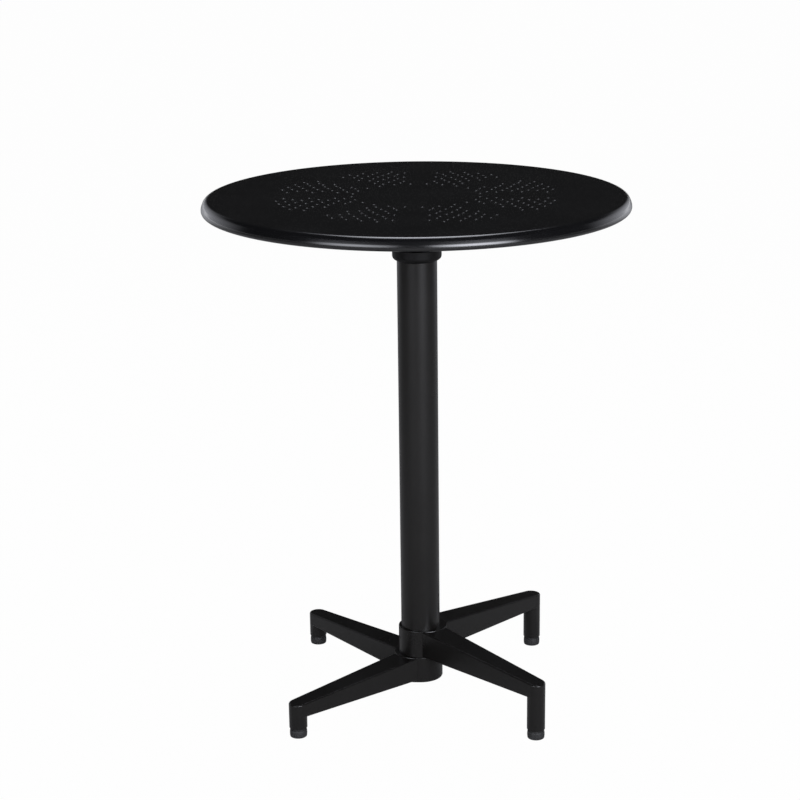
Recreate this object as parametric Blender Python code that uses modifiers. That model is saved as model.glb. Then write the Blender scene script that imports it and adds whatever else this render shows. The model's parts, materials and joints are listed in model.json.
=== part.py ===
# Bistro table: a round steel top that tilts on a column, with a nesting four-arm base.
# Metres, +Z up. The origin is on the floor under the column, and the high arms point to +X.
import math

import bmesh
import bpy
from mathutils import Matrix

# Clearance between pieces that touch
GAP = 0.0003

# Round top, pressed from sheet with a rolled rim
TABLE_HEIGHT = 0.745
TOP_RADIUS = 0.300
TOP_SHEET = 0.0015
RIM_REACH = 0.010  # from the flat face's edge out to the widest point
RIM_DEPTH = 0.018
RIM_BEND = 0.005
RIM_SHOULDER = 0.012
RIM_CURL = 0.005
RIM_LIP = 0.004

# Stiffening plate under the top
PLATE_RADIUS = 0.080
PLATE_THICKNESS = 0.004

# Tilt bracket: a base plate with two cheeks
BRACKET_SHEET = 0.003
BRACKET_HALF_WIDTH = 0.051
BRACKET_FRONT = 0.034  # +X end, from the column axis
BRACKET_LUG = 0.013
LATCH_LUG = 0.008

# Tilt pivot
PIVOT_OFFSET = 0.018  # +X of the column axis, so the top's weight holds it down on its rest
PIVOT_DROP = 0.046  # below the bracket's base plate
BOLT_RADIUS = 0.005
BOLT_HEAD = 0.006
HEX_RADIUS = 0.0096
NUT_HEIGHT = 0.008
BOLT_END = 0.002
BUSH_WALL = 0.002
BUSH_FLANGE = 0.002
BUSH_FLANGE_RADIUS = 0.0095

# Bracket screws
SCREW_RADIUS = 0.003
SCREW_HEAD_RADIUS = 0.005
SCREW_HEAD = 0.0035
SCREW_INSET_X = 0.013
SCREW_INSET_Y = 0.009

# Column head: a spigot in the tube, a flange, and two cheeks that carry the pivot
HEAD_FLANGE_RADIUS = 0.035
HEAD_FLANGE = 0.010
HEAD_DROP = 0.0194  # flange top below the pivot
HEAD_BOSS = 0.013
CHEEK_GAP = 0.040  # between the two cheeks
CHEEK_THICKNESS = 0.006
CHEEK_BACK = 0.056  # -X edge, from the pivot
REST_FRONT = 0.030  # rest pad's ends, from the pivot
REST_BACK = 0.048
SPIGOT_LENGTH = 0.044
ROD_ENGAGEMENT = 0.026

# Latch: a sprung lever on the bracket whose tooth reaches for a keeper pin in the column head
LATCH_BACK = 0.068  # lever pivot, from the tilt pivot
LATCH_RISE = 0.032
LATCH_PIN_RADIUS = 0.003
LATCH_PIN_HEAD = 0.002
LEVER_BOSS = 0.007
LEVER_WIDTH = 0.024
LEVER_LENGTH = 0.076
LEVER_THICKNESS = 0.008
LEVER_DROP = 0.007
TOOTH_HEIGHT = 0.007
KEEPER_BACK = 0.048
KEEPER_RISE = 0.014
KEEPER_RADIUS = 0.003
SPRING_RADIUS = 0.004
SPRING_WIRE = 0.0011
SPRING_TURNS = 4
SPRING_BACK = 0.016  # from the lever pivot

# Column tube and tie rod
TUBE_RADIUS = 0.0285
TUBE_WALL = 0.002
ROD_RADIUS = 0.005
WASHER_RADIUS = 0.018
WASHER_THICKNESS = 0.003

# Base castings
HUB_BOTTOM = 0.021
HUB_HEIGHT = 0.039
HUB_BOSS = 0.007  # how far the hub reaches out between its two arms
HUB_RECESS = 0.013
HUB_RECESS_RADIUS = 0.0205
COLLAR_HEIGHT = 0.0415
COLLAR_WALL = 0.0035
SOCKET_FLOOR = 0.008
DOWEL_RADIUS = 0.0025
DOWEL_LENGTH = 0.015
DOWEL_CIRCLE = 0.015

# Arms, from the hub to a round end over each foot
ARM_REACH = 0.238
ARM_ROOT = 0.0213
ARM_INSET = 0.001  # arm root inside the hub's top edge
LOW_ARM_CLEAR = 0.0035  # arm root above the hub's bottom edge
HIGH_ARM_CLEAR = 0.001
ARM_WALL = 0.004
ARM_EDGE = 0.0015
RIB_THICKNESS = 0.004
LOW_ARM_FALL = 0.0075
LOW_ARM_RISE = 0.0065
HIGH_ARM_FALL = 0.016
HIGH_ARM_RISE = 0.002
LOW_ARM_ANGLES = {"back_left": 135, "front_left": 225}
HIGH_ARM_ANGLES = {"back_right": 45, "front_right": 315}

# Posts and levelling feet
POST_RADIUS = 0.0129
POST_STEP = 0.0003  # post inside the arm's round end
INSERT_RADIUS = 0.0062
INSERT_LENGTH = 0.013
STUD_RADIUS = 0.004
STUD_LENGTH = 0.033
PAD_RADIUS = 0.0124
PAD_HEIGHT = 0.013
PAD_BARREL = 0.0004
PAD_GROOVE = 0.0017
PAD_GROOVE_WIDTH = 0.002
PAD_FLOOR = 0.004

# Facets round a turned piece
RIM_SIDES = 64
COLUMN_SIDES = 48
PIN_SIDES = 24
SCREW_SIDES = 16

# Levels, from the top down
SHEET_UNDER = TABLE_HEIGHT - TOP_SHEET
PLATE_TOP = SHEET_UNDER - GAP
PLATE_UNDER = PLATE_TOP - PLATE_THICKNESS
BRACKET_TOP = PLATE_UNDER - GAP
BRACKET_UNDER = BRACKET_TOP - BRACKET_SHEET
PIVOT_Z = BRACKET_UNDER - PIVOT_DROP
FLANGE_TOP = PIVOT_Z - HEAD_DROP
HEAD_ROUND = HEAD_FLANGE_RADIUS - TUBE_RADIUS
TUBE_TOP = FLANGE_TOP - HEAD_FLANGE - HEAD_ROUND - GAP
SPIGOT_END = TUBE_TOP - SPIGOT_LENGTH

# Levels, from the floor up
POST_UNDER = PAD_HEIGHT + GAP
HUB_TOP = HUB_BOTTOM + HUB_HEIGHT
COLLAR_UNDER = HUB_TOP + GAP
COLLAR_TOP = COLLAR_UNDER + COLLAR_HEIGHT
SOCKET_LEVEL = COLLAR_UNDER + SOCKET_FLOOR
TUBE_UNDER = SOCKET_LEVEL + GAP
RECESS_LEVEL = HUB_BOTTOM + HUB_RECESS
WASHER_UNDER = RECESS_LEVEL - GAP - WASHER_THICKNESS
NUT_UNDER = WASHER_UNDER - GAP - NUT_HEIGHT

# Radii and half widths that follow from the fits
TUBE_BORE = TUBE_RADIUS - TUBE_WALL
SOCKET_RADIUS = TUBE_RADIUS + GAP
HUB_RADIUS = SOCKET_RADIUS + COLLAR_WALL
CHEEK_INNER = CHEEK_GAP / 2
CHEEK_OUTER = CHEEK_INNER + CHEEK_THICKNESS
BRACKET_INNER = CHEEK_OUTER + BUSH_FLANGE + 2 * GAP
BRACKET_OUTER = BRACKET_INNER + BRACKET_SHEET
BUSH_BORE = BOLT_RADIUS + GAP
BUSH_RADIUS = BUSH_BORE + BUSH_WALL

# Latch places
LATCH_X = PIVOT_OFFSET - LATCH_BACK
LATCH_Z = PIVOT_Z + LATCH_RISE
KEEPER_X = PIVOT_OFFSET - KEEPER_BACK
KEEPER_Z = PIVOT_Z + KEEPER_RISE
TOOTH_SWEEP = math.hypot(KEEPER_BACK, KEEPER_RISE) + KEEPER_RADIUS + 1.5 * GAP
BRACKET_BACK = LATCH_X - LATCH_LUG - 2 * GAP

# Turns a piece from +Z to +Y, and lays a flat outline in the XZ or the YZ plane
ALONG_Y = Matrix.Rotation(-math.pi / 2, 4, "X")
IN_XZ = Matrix.Rotation(math.pi / 2, 4, "X")
IN_YZ = Matrix(((0, 0, 1, 0), (1, 0, 0, 0), (0, 1, 0, 0), (0, 0, 0, 1)))


def clear_scene():
    for old in list(bpy.data.objects):
        bpy.data.objects.remove(old, do_unlink=True)


def new_collection(name):
    group = bpy.data.collections.new(name)
    bpy.context.scene.collection.children.link(group)
    return group


def finish(name, colour, roughness, metallic):
    material = bpy.data.materials.new(name)
    material.use_nodes = True
    shader = material.node_tree.nodes["Principled BSDF"]
    shader.inputs["Base Color"].default_value = (*colour, 1)
    shader.inputs["Roughness"].default_value = roughness
    shader.inputs["Metallic"].default_value = metallic
    return material


clear_scene()
parts = new_collection("bistro_table")
cutters = new_collection("bistro_table_cutters")

powder_gloss = finish("gloss_black_powder_coat", (0.012, 0.012, 0.013), 0.25, 0.0)
powder_satin = finish("satin_black_powder_coat", (0.020, 0.020, 0.021), 0.45, 0.0)
zinc = finish("zinc_plated_steel", (0.55, 0.56, 0.58), 0.35, 1.0)
nylon = finish("black_nylon", (0.025, 0.025, 0.025), 0.55, 0.0)
grey_plastic = finish("dark_grey_plastic", (0.045, 0.045, 0.048), 0.6, 0.0)


# Raw shapes: each starts as a wire-drawn tool, and becomes a part when it gets a finish
def tool(mesh, place=Matrix()):
    mesh.transform(place)
    mesh.shade_smooth()
    mesh.set_sharp_from_angle(angle=math.radians(35))
    shape = bpy.data.objects.new(mesh.name, mesh)
    shape.hide_render = True
    shape.display_type = "WIRE"
    cutters.objects.link(shape)
    return shape


def evaluated_mesh(source):
    bpy.context.view_layer.update()
    graph = bpy.context.evaluated_depsgraph_get()
    mesh = bpy.data.meshes.new_from_object(source.evaluated_get(graph))
    bpy.data.objects.remove(source, do_unlink=True)
    return mesh


def part(name, shape, material, axis=None):
    cutters.objects.unlink(shape)
    parts.objects.link(shape)
    shape.name = name
    shape.data.name = name
    shape.hide_render = False
    shape.display_type = "TEXTURED"
    shape.data.materials.append(material)
    if axis:
        shape.parent = axis
        shape.matrix_parent_inverse = Matrix.Translation(axis.location).inverted()
    return shape


def joint_axis(name, place):
    axis = bpy.data.objects.new(name, None)
    axis.location = place
    axis.empty_display_size = 0.03
    parts.objects.link(axis)
    return axis


def combine(target, operation, *tools):
    for other in tools:
        step = target.modifiers.new(other.name, "BOOLEAN")
        step.operation = operation
        step.solver = "EXACT"
        step.object = other
    return target


def cylinder(radius, low, high, sides, place=Matrix()):
    mesh = bpy.data.meshes.new("cylinder")
    shape = bmesh.new()
    middle = Matrix.Translation((0, 0, (low + high) / 2))
    bmesh.ops.create_cone(
        shape, cap_ends=True, segments=sides, radius1=radius, radius2=radius, depth=high - low, matrix=middle
    )
    shape.to_mesh(mesh)
    shape.free()
    return tool(mesh, place)


def turned(profile, sides, closed=False, place=Matrix()):
    mesh = bpy.data.meshes.new("turned")
    edges = [(i, i + 1) for i in range(len(profile) - 1)]
    if closed:
        edges.append((len(profile) - 1, 0))
    mesh.from_pydata([(radius, 0, height) for radius, height in profile], edges, [])
    source = bpy.data.objects.new("turned", mesh)
    cutters.objects.link(source)
    screw = source.modifiers.new("turn", "SCREW")
    screw.steps = sides
    screw.render_steps = sides
    screw.use_merge_vertices = True
    screw.merge_threshold = 0.00001
    return tool(evaluated_mesh(source), place)


def sheet(outline, thickness, place=Matrix()):
    curve = bpy.data.curves.new("outline", "CURVE")
    curve.dimensions = "2D"
    curve.fill_mode = "BOTH"
    curve.extrude = thickness / 2
    line = curve.splines.new("POLY")
    line.points.add(len(outline) - 1)
    for point, (x, y) in zip(line.points, outline):
        point.co = (x, y, 0, 1)
    line.use_cyclic_u = True
    source = bpy.data.objects.new("outline", curve)
    cutters.objects.link(source)
    mesh = evaluated_mesh(source)
    shape = bmesh.new()
    shape.from_mesh(mesh)
    bmesh.ops.remove_doubles(shape, verts=shape.verts, dist=0.000001)
    bmesh.ops.recalc_face_normals(shape, faces=shape.faces)
    shape.to_mesh(mesh)
    shape.free()
    return tool(mesh, place)


def arc(centre, radius, start, end, steps):
    angles = [math.radians(start + (end - start) * i / steps) for i in range(steps + 1)]
    return [(centre[0] + radius * math.cos(a), centre[1] + radius * math.sin(a)) for a in angles]


# Top: flat face, bend, slanted wall, wide shoulder and curled lower edge, one sheet thick all the way
def make_top(axis):
    bend = (TOP_RADIUS - RIM_REACH, TABLE_HEIGHT - RIM_BEND)
    widest = TABLE_HEIGHT - RIM_DEPTH + RIM_CURL
    shoulder = (TOP_RADIUS - RIM_SHOULDER, widest)
    curl = (TOP_RADIUS - RIM_CURL, widest)
    across = shoulder[0] - bend[0]
    down = shoulder[1] - bend[1]
    lean = math.atan2(down, across) + math.acos((RIM_BEND - RIM_SHOULDER) / math.hypot(across, down))
    wall = math.degrees(lean)
    outside = arc(bend, RIM_BEND, 90, wall, 3)
    outside += arc(shoulder, RIM_SHOULDER, wall, 0, 4)[:-1] + arc(curl, RIM_CURL, 0, -90, 3)
    inside = arc(curl, RIM_CURL - TOP_SHEET, -90, 0, 3)[:-1]
    inside += arc(shoulder, RIM_SHOULDER - TOP_SHEET, 0, wall, 4)
    inside += arc(bend, RIM_BEND - TOP_SHEET, wall, 90, 3)
    lip = curl[0] - RIM_LIP
    lip_edge = [(lip, widest - RIM_CURL), (lip, widest - RIM_CURL + TOP_SHEET)]
    profile = [(0, TABLE_HEIGHT)] + outside + lip_edge + inside + [(0, SHEET_UNDER)]
    part("table_top", turned(profile, RIM_SIDES), powder_gloss, axis)


# Places of the bracket screws, seen from above
def screw_places():
    ends = (BRACKET_BACK + SCREW_INSET_X, BRACKET_FRONT - SCREW_INSET_X)
    side = BRACKET_HALF_WIDTH - SCREW_INSET_Y
    return [(x, y) for x in ends for y in (-side, side)]


def make_top_plate(axis):
    plate = cylinder(PLATE_RADIUS, PLATE_UNDER, PLATE_TOP, COLUMN_SIDES)
    for x, y in screw_places():
        place = Matrix.Translation((x, y, 0))
        hole = cylinder(SCREW_RADIUS + GAP, PLATE_UNDER - GAP, PLATE_TOP + GAP, SCREW_SIDES, place)
        combine(plate, "DIFFERENCE", hole)
    part("top_plate", plate, powder_satin, axis)


# Bracket: the section across it, trimmed to the outline of its side
def make_bracket(axis):
    section = [
        (-BRACKET_HALF_WIDTH, BRACKET_TOP),
        (-BRACKET_HALF_WIDTH, BRACKET_UNDER),
        (-BRACKET_OUTER, BRACKET_UNDER),
        (-BRACKET_OUTER, FLANGE_TOP),
        (-BRACKET_INNER, FLANGE_TOP),
        (-BRACKET_INNER, BRACKET_UNDER),
    ]
    section += [(-y, z) for y, z in reversed(section)]
    length = 2 * (BRACKET_FRONT - BRACKET_BACK)
    bracket = sheet(section, length, IN_YZ)
    side = [(BRACKET_BACK, BRACKET_TOP + BRACKET_SHEET), (BRACKET_BACK, LATCH_Z)]
    side += arc((LATCH_X, LATCH_Z), LATCH_LUG, 180, 290, 6)
    side += arc((PIVOT_OFFSET, PIVOT_Z), BRACKET_LUG, 205, 360, 8)
    side += [(BRACKET_FRONT, BRACKET_UNDER), (BRACKET_FRONT, BRACKET_TOP + BRACKET_SHEET)]
    combine(bracket, "INTERSECT", sheet(side, 3 * BRACKET_HALF_WIDTH, IN_XZ))
    reach = 2 * BRACKET_OUTER
    bolt_hole = Matrix.Translation((PIVOT_OFFSET, 0, PIVOT_Z)) @ ALONG_Y
    pin_hole = Matrix.Translation((LATCH_X, 0, LATCH_Z)) @ ALONG_Y
    combine(bracket, "DIFFERENCE", cylinder(BOLT_RADIUS + GAP, -reach, reach, PIN_SIDES, bolt_hole))
    combine(bracket, "DIFFERENCE", cylinder(LATCH_PIN_RADIUS + GAP, -reach, reach, PIN_SIDES, pin_hole))
    low = BRACKET_UNDER - BRACKET_SHEET
    high = BRACKET_TOP + BRACKET_SHEET
    for x, y in screw_places():
        hole = Matrix.Translation((x, y, 0))
        combine(bracket, "DIFFERENCE", cylinder(SCREW_RADIUS + GAP, low, high, SCREW_SIDES, hole))
    part("tilt_bracket", bracket, powder_satin, axis)


# Pan-head screw from below, through the bracket into the plate
def make_bracket_screws(axis):
    head_top = BRACKET_UNDER - GAP
    head_low = head_top - SCREW_HEAD
    profile = [
        (0, PLATE_TOP - GAP),
        (SCREW_RADIUS, PLATE_TOP - GAP),
        (SCREW_RADIUS, head_top),
        (SCREW_HEAD_RADIUS, head_top),
        (SCREW_HEAD_RADIUS, head_top - 0.6 * SCREW_HEAD),
        (0.7 * SCREW_HEAD_RADIUS, head_low),
        (0, head_low),
    ]
    for number, (x, y) in enumerate(screw_places(), start=1):
        screw = turned(profile, SCREW_SIDES, place=Matrix.Translation((x, y, 0)))
        part(f"bracket_screw_{number}", screw, zinc, axis)


def make_pivot():
    pivot = Matrix.Translation((PIVOT_OFFSET, 0, PIVOT_Z)) @ ALONG_Y
    seat = BRACKET_OUTER + GAP
    bolt = cylinder(BOLT_RADIUS, -seat - NUT_HEIGHT - BOLT_END, seat + BOLT_HEAD / 2, PIN_SIDES, pivot)
    combine(bolt, "UNION", cylinder(HEX_RADIUS, seat, seat + BOLT_HEAD, 6, pivot))
    part("pivot_bolt", bolt, zinc)
    nut = cylinder(HEX_RADIUS, -seat - NUT_HEIGHT, -seat, 6, pivot)
    combine(nut, "DIFFERENCE", cylinder(BOLT_RADIUS + GAP, -2 * seat, 0, PIN_SIDES, pivot))
    part("pivot_nut", nut, zinc)
    bush = [
        (BUSH_FLANGE_RADIUS, CHEEK_OUTER + GAP + BUSH_FLANGE),
        (BUSH_FLANGE_RADIUS, CHEEK_OUTER + GAP),
        (BUSH_RADIUS, CHEEK_OUTER + GAP),
        (BUSH_RADIUS, CHEEK_INNER),
        (BUSH_BORE, CHEEK_INNER),
        (BUSH_BORE, CHEEK_OUTER + GAP + BUSH_FLANGE),
    ]
    part("pivot_bush_back", turned(bush, PIN_SIDES, True, pivot), nylon)
    other_side = pivot @ Matrix.Rotation(math.pi, 4, "X")
    part("pivot_bush_front", turned(bush, PIN_SIDES, True, other_side), nylon)


# Head: turned spigot and flange, with a cheek on each side for the pivot, the rest and the keeper
def make_column_head():
    spigot = TUBE_BORE - GAP
    profile = [(0, FLANGE_TOP), (HEAD_FLANGE_RADIUS, FLANGE_TOP)]
    profile += arc((TUBE_RADIUS, FLANGE_TOP - HEAD_FLANGE), HEAD_ROUND, 0, -90, 4)
    profile += [(spigot, FLANGE_TOP - HEAD_FLANGE - HEAD_ROUND), (spigot, SPIGOT_END), (0, SPIGOT_END)]
    head = turned(profile, COLUMN_SIDES)
    foot = math.sqrt(HEAD_FLANGE_RADIUS**2 - CHEEK_OUTER**2) - GAP
    sunk = FLANGE_TOP - HEAD_FLANGE / 2
    rest = BRACKET_UNDER - GAP
    back = PIVOT_OFFSET - CHEEK_BACK
    outline = [(-foot, sunk), (foot, sunk), (foot, FLANGE_TOP)]
    outline += arc((PIVOT_OFFSET, PIVOT_Z), HEAD_BOSS, -20, 100, 6)
    outline += [(PIVOT_OFFSET - REST_FRONT, rest), (PIVOT_OFFSET - REST_BACK, rest)]
    outline += [(back, PIVOT_Z + HEAD_DROP), (back, PIVOT_Z), (-foot, FLANGE_TOP)]
    for side in (-1, 1):
        place = Matrix.Translation((0, side * (CHEEK_INNER + CHEEK_THICKNESS / 2), 0)) @ IN_XZ
        combine(head, "UNION", sheet(outline, CHEEK_THICKNESS, place))
    through = 2 * CHEEK_OUTER
    pivot = Matrix.Translation((PIVOT_OFFSET, 0, PIVOT_Z)) @ ALONG_Y
    keeper = Matrix.Translation((KEEPER_X, 0, KEEPER_Z)) @ ALONG_Y
    combine(head, "DIFFERENCE", cylinder(BUSH_RADIUS + GAP, -through, through, PIN_SIDES, pivot))
    combine(head, "DIFFERENCE", cylinder(KEEPER_RADIUS + GAP, -through, through, PIN_SIDES, keeper))
    rod_hole = cylinder(ROD_RADIUS + GAP, SPIGOT_END - GAP, SPIGOT_END + ROD_ENGAGEMENT + GAP, PIN_SIDES)
    combine(head, "DIFFERENCE", rod_hole)
    part("column_head", head, powder_satin)
    part("latch_keeper", cylinder(KEEPER_RADIUS, -CHEEK_OUTER, CHEEK_OUTER, PIN_SIDES, keeper), zinc)


# Lever: a side outline with a cross boss; the tooth ends on the arc that just clears the keeper
def make_latch(tilt_axis, latch_axis):
    pivot = (PIVOT_OFFSET, PIVOT_Z)
    tooth_top = KEEPER_Z - KEEPER_RADIUS - GAP
    tooth_low = tooth_top - TOOTH_HEIGHT
    high = 180 - math.degrees(math.asin((tooth_top - PIVOT_Z) / TOOTH_SWEEP))
    low = 180 - math.degrees(math.asin((tooth_low - PIVOT_Z) / TOOTH_SWEEP))
    seat = LATCH_Z + LEVER_THICKNESS / 2
    end = (LATCH_X - LEVER_LENGTH, LATCH_Z - LEVER_DROP)
    outline = arc(pivot, TOOTH_SWEEP, low, high, 3)
    outline += [(LATCH_X + LEVER_BOSS, tooth_top), (LATCH_X + LEVER_BOSS, LATCH_Z)]
    outline += arc((LATCH_X, LATCH_Z), LEVER_BOSS, 30, 110, 4)
    spring = LATCH_X - SPRING_BACK
    outline += [(spring + 1.5 * SPRING_RADIUS, seat), (spring - 1.5 * SPRING_RADIUS, seat)]
    outline += arc(end, LEVER_THICKNESS / 2, 95, 265, 6)
    outline += [(spring, seat - LEVER_THICKNESS * 1.3), (LATCH_X - LEVER_BOSS, LATCH_Z - LEVER_THICKNESS)]
    outline += [(LATCH_X - LEVER_BOSS, tooth_low + TOOTH_HEIGHT / 2)]
    outline += [(LATCH_X - LEVER_BOSS / 2, tooth_low)]
    lever = sheet(outline, LEVER_WIDTH, IN_XZ)
    place = Matrix.Translation((LATCH_X, 0, LATCH_Z)) @ ALONG_Y
    half = BRACKET_INNER - GAP
    combine(lever, "UNION", cylinder(LEVER_BOSS - GAP, -half, half, PIN_SIDES, place))
    combine(lever, "DIFFERENCE", cylinder(LATCH_PIN_RADIUS + GAP, -2 * half, 2 * half, PIN_SIDES, place))
    part("latch_lever", lever, powder_satin, latch_axis)
    make_latch_pin(place, tilt_axis)
    make_latch_spring(seat, tilt_axis)


# Pin with a riveted head at each end
def make_latch_pin(place, axis):
    seat = BRACKET_OUTER + GAP
    head = LATCH_PIN_RADIUS * 1.6
    upper = [
        (0, seat + LATCH_PIN_HEAD),
        (head * 0.7, seat + LATCH_PIN_HEAD),
        (head, seat + LATCH_PIN_HEAD / 2),
        (head, seat),
        (LATCH_PIN_RADIUS, seat),
    ]
    profile = upper + [(radius, -height) for radius, height in reversed(upper)]
    part("latch_pin", turned(profile, PIN_SIDES, place=place), zinc, axis)


# Compression spring between the lever and the plate
def make_latch_spring(seat, axis):
    low = seat + GAP + SPRING_WIRE / 2
    rise = PLATE_UNDER - GAP - SPRING_WIRE / 2 - low
    steps = 12 * SPRING_TURNS
    curve = bpy.data.curves.new("coil", "CURVE")
    curve.dimensions = "3D"
    curve.bevel_depth = SPRING_WIRE / 2
    curve.bevel_resolution = 2
    curve.use_fill_caps = True
    line = curve.splines.new("POLY")
    line.points.add(steps)
    for step, point in enumerate(line.points):
        turn = 2 * math.pi * SPRING_TURNS * step / steps
        x = LATCH_X - SPRING_BACK + SPRING_RADIUS * math.cos(turn)
        point.co = (x, SPRING_RADIUS * math.sin(turn), low + rise * step / steps, 1)
    source = bpy.data.objects.new("coil", curve)
    cutters.objects.link(source)
    mesh = evaluated_mesh(source)
    shape = bmesh.new()
    shape.from_mesh(mesh)
    bmesh.ops.remove_doubles(shape, verts=shape.verts, dist=0.000001)
    shape.to_mesh(mesh)
    shape.free()
    part("latch_spring", tool(mesh), zinc, axis)


# Column: an open tube between the collar's socket and the head, pulled together by a rod
def make_column():
    tube = [
        (TUBE_RADIUS, TUBE_TOP),
        (TUBE_RADIUS, TUBE_UNDER),
        (TUBE_BORE, TUBE_UNDER),
        (TUBE_BORE, TUBE_TOP),
    ]
    part("column_tube", turned(tube, COLUMN_SIDES, True), powder_satin)
    part("tie_rod", cylinder(ROD_RADIUS, NUT_UNDER - GAP, SPIGOT_END + ROD_ENGAGEMENT, PIN_SIDES), zinc)
    washer = [
        (WASHER_RADIUS, RECESS_LEVEL - GAP),
        (WASHER_RADIUS, WASHER_UNDER),
        (ROD_RADIUS + GAP, WASHER_UNDER),
        (ROD_RADIUS + GAP, RECESS_LEVEL - GAP),
    ]
    part("tie_washer", turned(washer, PIN_SIDES, True), zinc)
    nut = cylinder(HEX_RADIUS, NUT_UNDER, NUT_UNDER + NUT_HEIGHT, 6)
    combine(nut, "DIFFERENCE", cylinder(ROD_RADIUS + GAP, 0, HUB_TOP, PIN_SIDES))
    part("tie_nut", nut, zinc)
    dowel_low = COLLAR_UNDER + SOCKET_FLOOR - GAP - DOWEL_LENGTH
    dowel_place = Matrix.Translation((0, DOWEL_CIRCLE, 0))
    dowel = cylinder(DOWEL_RADIUS, dowel_low, dowel_low + DOWEL_LENGTH, SCREW_SIDES, dowel_place)
    part("base_dowel", dowel, zinc)


# One arm: its tapered plan, trimmed to its tapered side view, with softened edges
def arm(angle, top, under, fall, rise):
    side = math.acos((ARM_ROOT - POST_RADIUS) / ARM_REACH)
    slope = math.degrees(side)
    root = (ARM_ROOT * math.cos(side), ARM_ROOT * math.sin(side))
    plan = [(root[0], -root[1])] + arc((ARM_REACH, 0), POST_RADIUS, -slope, slope, 12) + [root]
    turn = Matrix.Rotation(math.radians(angle), 4, "Z")
    middle = Matrix.Translation((0, 0, (top + under) / 2))
    body = sheet(plan, 2 * (top - under), turn @ middle)
    tip = ARM_REACH + 2 * POST_RADIUS
    stretch = (tip - HUB_RADIUS) / (ARM_REACH - HUB_RADIUS)
    view = [
        (0, under),
        (HUB_RADIUS, under),
        (tip, under + rise * stretch),
        (tip, top - fall * stretch),
        (HUB_RADIUS, top),
        (0, top),
    ]
    combine(body, "INTERSECT", sheet(view, 4 * ARM_ROOT, turn @ IN_XZ))
    soften = body.modifiers.new("edges", "BEVEL")
    soften.width = ARM_EDGE
    soften.segments = 2
    soften.limit_method = "ANGLE"
    soften.angle_limit = math.radians(40)
    return body


# Cored pocket in an arm's underside: a box whose corners follow the arm's taper
def pocket(angle, start, end, top, under, fall):
    side = math.acos((ARM_ROOT - POST_RADIUS) / ARM_REACH)
    mesh = bpy.data.meshes.new("pocket")
    shape = bmesh.new()
    bmesh.ops.create_cube(shape, size=2)
    for corner in shape.verts:
        along = start if corner.co.x < 0 else end
        half = (ARM_ROOT - along * math.cos(side)) / math.sin(side) - ARM_WALL
        roof = top - fall * (along - HUB_RADIUS) / (ARM_REACH - HUB_RADIUS) - ARM_WALL
        corner.co = (along, half * corner.co.y, roof if corner.co.z > 0 else under - ARM_WALL)
    shape.to_mesh(mesh)
    shape.free()
    return tool(mesh, Matrix.Rotation(math.radians(angle), 4, "Z"))


# Adds the arms, their posts and their pockets to a hub
def add_arms(casting, angles, top, under, fall, rise):
    first = HUB_RADIUS + HUB_BOSS + ARM_WALL
    last = ARM_REACH - POST_RADIUS - ARM_WALL
    rib = (first + last) / 2
    for angle in angles:
        foot = Matrix.Rotation(math.radians(angle), 4, "Z") @ Matrix.Translation((ARM_REACH, 0, 0))
        post = cylinder(POST_RADIUS - POST_STEP, POST_UNDER, top - fall - ARM_WALL, PIN_SIDES, foot)
        combine(casting, "UNION", arm(angle, top, under, fall, rise), post)
        for start, end in ((first, rib - RIB_THICKNESS / 2), (rib + RIB_THICKNESS / 2, last)):
            combine(casting, "DIFFERENCE", pocket(angle, start, end, top, under, fall))
        insert_hole = cylinder(INSERT_RADIUS + GAP, 0, POST_UNDER + INSERT_LENGTH + GAP, PIN_SIDES, foot)
        stud_hole = cylinder(STUD_RADIUS + GAP, 0, PAD_FLOOR + STUD_LENGTH + 3 * GAP, SCREW_SIDES, foot)
        combine(casting, "DIFFERENCE", insert_hole, stud_hole)


# Round hub, drawn out between its two arms, which point to +X or to -X
def hub(under, top, side):
    half = COLUMN_SIDES // 2
    outline = arc((0, 0), HUB_RADIUS, 90, 270, half) + arc((HUB_BOSS, 0), HUB_RADIUS, -90, 90, half)
    outline = [(side * x, y) for x, y in outline]
    return sheet(outline, top - under, Matrix.Translation((0, 0, (top + under) / 2)))


def make_base():
    low_hub = hub(HUB_BOTTOM, HUB_TOP, -1)
    low_under = HUB_BOTTOM + LOW_ARM_CLEAR
    add_arms(low_hub, LOW_ARM_ANGLES.values(), HUB_TOP - ARM_INSET, low_under, LOW_ARM_FALL, LOW_ARM_RISE)
    high_hub = hub(COLLAR_UNDER, COLLAR_TOP, 1)
    high_under = COLLAR_UNDER + HIGH_ARM_CLEAR
    high_top = COLLAR_TOP - ARM_INSET
    add_arms(high_hub, HIGH_ARM_ANGLES.values(), high_top, high_under, HIGH_ARM_FALL, HIGH_ARM_RISE)
    combine(low_hub, "DIFFERENCE", cylinder(HUB_RECESS_RADIUS, 0, RECESS_LEVEL, COLUMN_SIDES))
    combine(high_hub, "DIFFERENCE", cylinder(SOCKET_RADIUS, SOCKET_LEVEL, 2 * COLLAR_TOP, COLUMN_SIDES))
    dowel_low = SOCKET_LEVEL - DOWEL_LENGTH - 3 * GAP
    for casting in (low_hub, high_hub):
        rod_hole = cylinder(ROD_RADIUS + GAP, 0, 2 * COLLAR_TOP, PIN_SIDES)
        dowel_place = Matrix.Translation((0, DOWEL_CIRCLE, 0))
        dowel_hole = cylinder(DOWEL_RADIUS + GAP, dowel_low, 2 * COLLAR_TOP, SCREW_SIDES, dowel_place)
        combine(casting, "DIFFERENCE", rod_hole, dowel_hole)
    part("lower_base", low_hub, powder_satin)
    part("upper_base", high_hub, powder_satin)


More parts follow.
